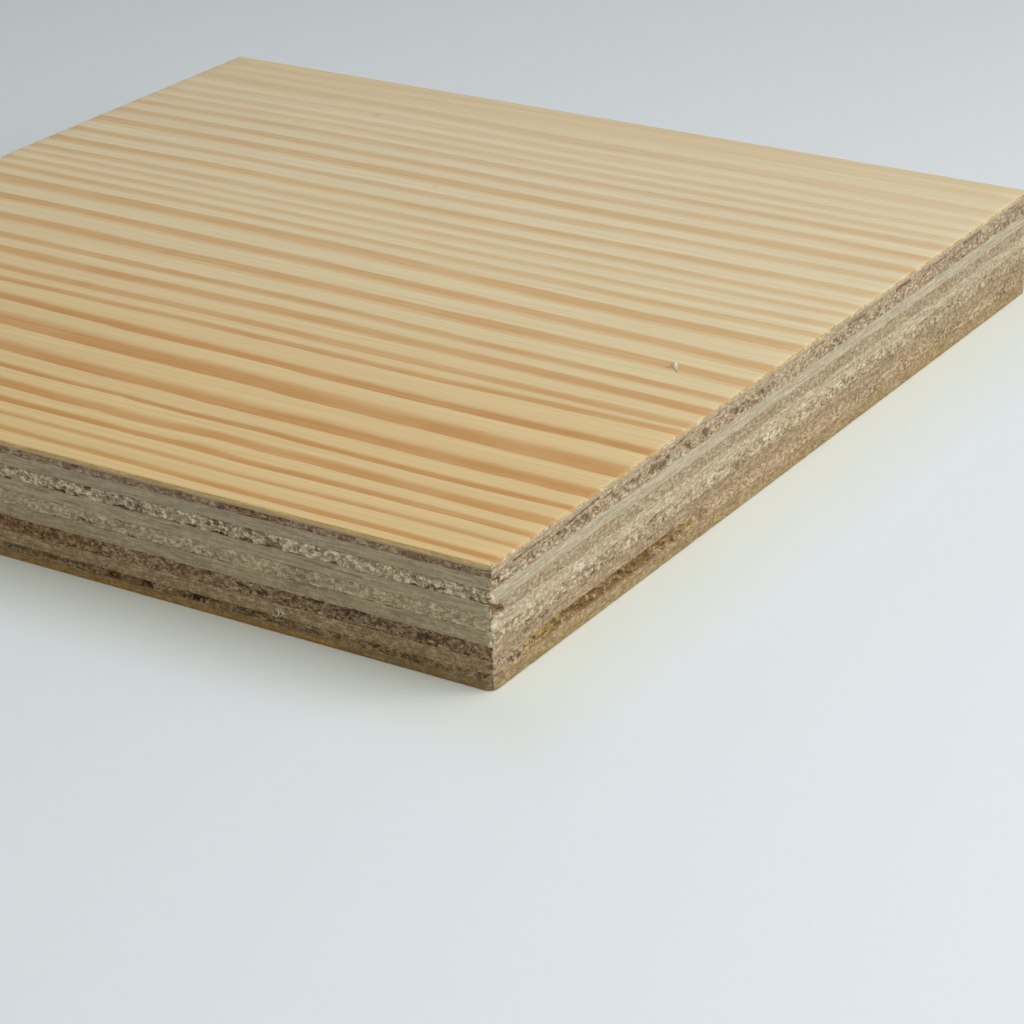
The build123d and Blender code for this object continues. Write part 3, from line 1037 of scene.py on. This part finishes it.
def face_colour(tree, vector, fibres):
    """Colour of the show face, and the fibres that it is mottled with."""
    across = axes(tree, vector)["X"]
    share = maths(tree, "DIVIDE", maths(tree, "SUBTRACT", across, sheet_low[0]), sheet_size[0])
    wood = place_group(tree, fibres, Vector=grain_vector(tree, vector, "y"), **face_fibre)
    late = late_wood_share(tree, vector, across)
    colour = blend(tree, late, across_sheet(tree, share, early_wood), across_sheet(tree, share, late_wood))
    colour = brighten(tree, colour, spread(tree, wood["Streaks"], 0.0, 1.0, 0.94, 1.06))
    colour = blend(tree, times(tree, wood["Flecks"], 0.35), colour, face_fleck_colour)
    colour = blend(tree, times(tree, wood["Mottle"], 0.12), colour, face_mottle_colour)
    # Among these spots is a painted shadow beside the splinter
    for place, radius, darkness in face_spots_and_splinter_shadow:
        colour = blend(tree, spot(tree, vector, place, radius, darkness), colour, spot_and_shadow_colour)
    return colour, wood


def spot(tree, vector, place, radius, darkness):
    """A soft round spot on the show face."""
    node = add_node(tree, "ShaderNodeVectorMath", operation="DISTANCE")
    feed(tree, node.inputs[0], vector)
    feed(tree, node.inputs[1], (sheet_low[0] + place[0], sheet_low[1] + place[1], sheet_high[2]))
    return spread(tree, node.outputs["Value"], radius, 0.0, 0.0, darkness)


def show_face_material(fibres):
    """The show face: planed and dry, its stripes lying along the sheet."""
    material, tree, shader = new_material("show_face")
    colour, wood = face_colour(tree, object_mm(tree), fibres)
    finish(tree, shader, colour, times(tree, wood["Streaks"], 0.12), wood["Mottle"])
    return material


def back_face_material(fibres):
    """The underside of the back veneer: plain straight-grained softwood."""
    material, tree, shader = new_material("back_face")
    vector = grain_vector(tree, object_mm(tree), "y")
    stripes = place_group(tree, fibres, Vector=vector, **back_stripe)
    wood = place_group(tree, fibres, Vector=vector, **back_fibre)
    colour = blend(tree, stripes["Streaks"], back_dark_colour, back_pale_colour)
    colour = brighten(tree, colour, spread(tree, wood["Streaks"], 0.0, 1.0, 0.90, 1.10))
    colour = blend(tree, times(tree, wood["Flecks"], 0.35), colour, back_fleck_colour)
    finish(tree, shader, colour, times(tree, wood["Streaks"], 0.2), wood["Mottle"])
    return material


# Making the plies

def make_ply(ply, sawn_edge):
    piece = open_band(ply)
    carve(ply, piece)
    close_flat(piece, ply.low)
    piece.data.materials.append(edge_material(ply, sawn_edge))
    if ply.node == "face_veneer":
        close_show_face(piece, ply.high)
    else:
        close_flat(piece, ply.high)
    only(piece)
    bpy.ops.object.shade_smooth_by_angle(angle=math.radians(50))
    mount(piece, ply.node)
    return piece


def lay_finish(piece, material, height, way):
    """Give the flat face of a piece at a height, facing up or down, a material of its own."""
    piece.data.materials.append(material)
    only(piece)
    pick_faces(piece, lambda at, normal: (
        (np.abs(at[:, 2] - height) < flat_slack) & (normal[:, 2] * way > 0.5)))
    piece.active_material_index = 1
    bpy.ops.object.material_slot_assign()
    done()


def stripe_face(piece):
    """Store the bands of late wood on the face veneer."""
    phase, strength = ring_phase(places(piece))
    keep(piece, "band_phase", phase)
    keep(piece, "band_strength", strength)
    within = phase % 1
    end = np.empty(len(piece.data.vertices), np.float32)
    piece.data.attributes["end_grain"].data.foreach_get("value", end)
    keep(piece, "band_end", end * strength * ease(0.0, 0.06, within) * (1 - ease(0.42, 0.52, within)))


def mount(piece, node, stands_for=True):
    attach(piece, "root")
    if stands_for:
        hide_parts(node)


# Loose fibres on the left edge, and a splinter in two on the show face: start from the near corner,
# steps in mm, and thickness
loose_fibres = [
    ((0.05, 33.7, 2.5), [(-0.2, -0.1, 0.3), (-0.15, -0.25, 0.35), (-0.05, 0.05, 0.35), (-0.05, 0.3, 0.3)],
     0.22),
    ((0.05, 33.4, 2.6), [(-0.25, -0.3, 0.2), (-0.1, -0.35, 0.25), (-0.05, -0.2, 0.35), (0, -0.1, 0.25)],
     0.16),
    ((0.05, 33.2, 3.1), [(-0.25, -0.3, 0.1), (-0.1, -0.4, 0.05), (0, -0.4, 0.15)], 0.14),
    ((0.05, 33.3, 3.2), [(-0.2, 0.15, 0.3), (-0.1, 0.05, 0.4), (0, -0.2, 0.25)], 0.16),
    ((0.05, 32.9, 3), [(-0.2, -0.1, 0.35), (-0.15, 0.1, 0.35), (0, 0.2, 0.2)], 0.18),
    ((0.05, 34, 2.3), [(-0.2, 0.1, 0.2), (-0.1, 0.2, 0.1), (0, 0.2, 0)], 0.12),
    ((0.05, 30.6, 3.4), [(-0.1, -0.35, 0.1), (-0.05, -0.4, 0.05), (0, -0.35, -0.05)], 0.09),
    ((0.05, 31.8, 3.7), [(-0.1, -0.35, -0.1), (-0.05, -0.4, 0.05)], 0.09),
    ((0.05, 29.4, 3.1), [(-0.1, -0.35, 0.15), (-0.05, -0.4, 0.1)], 0.08),
    ((0.05, 62.1, 14), [(-0.1, 0.05, 0.25), (-0.05, 0.02, 0.3)], 0.08),
    ((0.05, 68.7, 15), [(-0.1, 0.08, 0.25), (-0.05, 0.06, 0.3)], 0.08),
    ((0.05, 53.4, 7.5), [(-0.1, 0.04, 0.25), (-0.05, 0.05, 0.25)], 0.08),
    ((0.05, 14.3, 3.9), [(-0.12, -0.2, 0.05), (-0.05, -0.25, 0.05)], 0.09),
    ((0.05, 9.2, 3.7), [(-0.12, -0.2, 0.1), (-0.05, -0.25, 0)], 0.1),
    ((69.6, 13.2, 17.95), [(-0.35, -0.1, 0.05), (-0.8, -0.6, 0.02), (-0.7, -0.75, 0), (-0.5, -0.6, 0)],
     0.6),
    ((69.7, 13.1, 17.95), [(-0.4, -0.2, 0.05), (-0.6, -0.4, 0), (-0.3, -0.3, 0)], 0.8),
]
fibre_sides = 6
# How much thinner a fibre is after each step
fibre_taper = 0.85
fibre_colours = ((0.66, 0.57, 0.42), (0.82, 0.74, 0.59))


def make_fibre(start, steps, thickness, name):
    """One pale fibre drawn out of the wood step by step, thinning to its tip."""
    place = Vector((sheet_low[0] + start[0], sheet_low[1] + start[1], start[2])) * MM
    turn = Vector(steps[0]).to_track_quat("Z", "Y").to_euler()
    bpy.ops.object.select_all(action="DESELECT")
    bpy.ops.mesh.primitive_circle_add(
        vertices=fibre_sides, radius=thickness / 2 * MM, fill_type="NGON", location=place, rotation=turn)
    fibre = bpy.context.object
    fibre.name = name
    bpy.ops.object.transform_apply(location=True, rotation=True, scale=True)
    bpy.ops.object.mode_set(mode="EDIT")
    bpy.ops.mesh.select_all(action="SELECT")
    for step_mm in steps:
        step = Vector(step_mm) * MM
        bpy.ops.mesh.extrude_region_move(TRANSFORM_OT_translate={"value": step})
        place = place + step
        bpy.ops.transform.resize(value=(fibre_taper,) * 3, center_override=place)
    done()
    return fibre


def make_loose_fibres():
    fibres = [make_fibre(*given, f"fibre_{index}") for index, given in enumerate(loose_fibres)]
    bpy.ops.object.select_all(action="DESELECT")
    for fibre in fibres:
        fibre.select_set(True)
    bpy.context.view_layer.objects.active = fibres[0]
    bpy.ops.object.join()
    piece = bpy.context.object
    piece.name = "loose_fibres"
    material, tree, shader = new_material("loose_fibre")
    shade = spread(tree, noise(tree, object_mm(tree), 3.0), 0.35, 0.65)
    feed(tree, shader.inputs["Base Color"], blend(tree, shade, *fibre_colours))
    shader.inputs["Roughness"].default_value = 0.8
    piece.data.materials.append(material)
    mount(piece, "long_ply_9", stands_for=False)


# Floor, lights and camera

floor_colours = ((0.82, 0.83, 0.83), (0.835, 0.845, 0.845))
# Painted shade on the floor: close to the sheet its colour is darker and yellower, as far as this many mm,
# painting the wood's bounce light and the shade round it
painted_warm_shade_colour = (0.785, 0.785, 0.695)
painted_shade_reach = 22.0

# Lights: name, place, what they face, size, watts and colour
lights = [
    ("key", (0.467, -0.821, 0.759), (0, 0, 0), 0.22, 0.7, (1.0, 0.98, 0.95)),
    ("window", (0.0, -0.464, 0.481), (-0.05, -0.1, 0), 0.9, 5.4, (0.90, 0.975, 1.03)),
]
room_colour = (0.98, 0.98, 0.93, 1)
room_strength = 0.22

camera_place = (-0.37977, -0.27520, 0.18818)
camera_turn = (65.357, 1.073, -57.786)
camera_lens = 110.89


def floor():
    bpy.ops.object.select_all(action="DESELECT")
    bpy.ops.mesh.primitive_plane_add(size=6, location=(0, 0, 0))
    sheet = bpy.context.object
    sheet.name = "floor"
    material, tree, shader = new_material("pale_floor")
    vector = object_mm(tree)
    colour = blend(tree, noise(tree, vector, 0.4), *floor_colours)
    at = axes(tree, vector)
    past_x = maths(tree, "SUBTRACT", maths(tree, "ABSOLUTE", at["X"]), sheet_high[0])
    past_y = maths(tree, "SUBTRACT", maths(tree, "ABSOLUTE", at["Y"]), sheet_high[1])
    # Painted shade: the floor is painted darker and yellower close to the sheet
    painted_warm_shade = spread(tree, maths(tree, "MAXIMUM", past_x, past_y), painted_shade_reach, 0.0)
    feed(tree, shader.inputs["Base Color"], blend(tree, painted_warm_shade, colour, painted_warm_shade_colour))
    shader.inputs["Roughness"].default_value = 0.75
    shader.inputs["Specular IOR Level"].default_value = 0.2
    sheet.data.materials.append(material)


def soft_light(name, place, target, size, watts, colour):
    data = bpy.data.lights.new(name, "AREA")
    data.size = size
    data.energy = watts
    data.color = colour
    light = bpy.data.objects.new(name, data)
    light.location = place
    light.rotation_euler = (Vector(target) - Vector(place)).to_track_quat("-Z", "Y").to_euler()
    light.visible_camera = False
    bpy.context.scene.collection.objects.link(light)


def stage():
    scene = bpy.context.scene
    scene.view_settings.view_transform = "Standard"
    floor()
    for light in lights:
        soft_light(*light)
    world = bpy.data.worlds.new("room")
    world.use_nodes = True
    background = world.node_tree.nodes["Background"]
    background.inputs["Color"].default_value = room_colour
    background.inputs["Strength"].default_value = room_strength
    scene.world = world
    data = bpy.data.cameras.new("camera")
    data.lens = camera_lens
    data.sensor_width = 36
    data.clip_start = 0.01
    camera = bpy.data.objects.new("camera", data)
    camera.location = camera_place
    camera.rotation_euler = [math.radians(turn) for turn in camera_turn]
    scene.collection.objects.link(camera)
    scene.camera = camera


fibres = fibre_group()
sawn_edge = sawn_edge_group(fibres, crumb_group())
pieces = {ply.node: make_ply(ply, sawn_edge) for ply in plies}
stripe_face(pieces["face_veneer"])
lay_finish(pieces["face_veneer"], show_face_material(fibres), sheet_high[2], 1)
lay_finish(pieces["back_veneer"], back_face_material(fibres), sheet_low[2], -1)
make_loose_fibres()
stage()
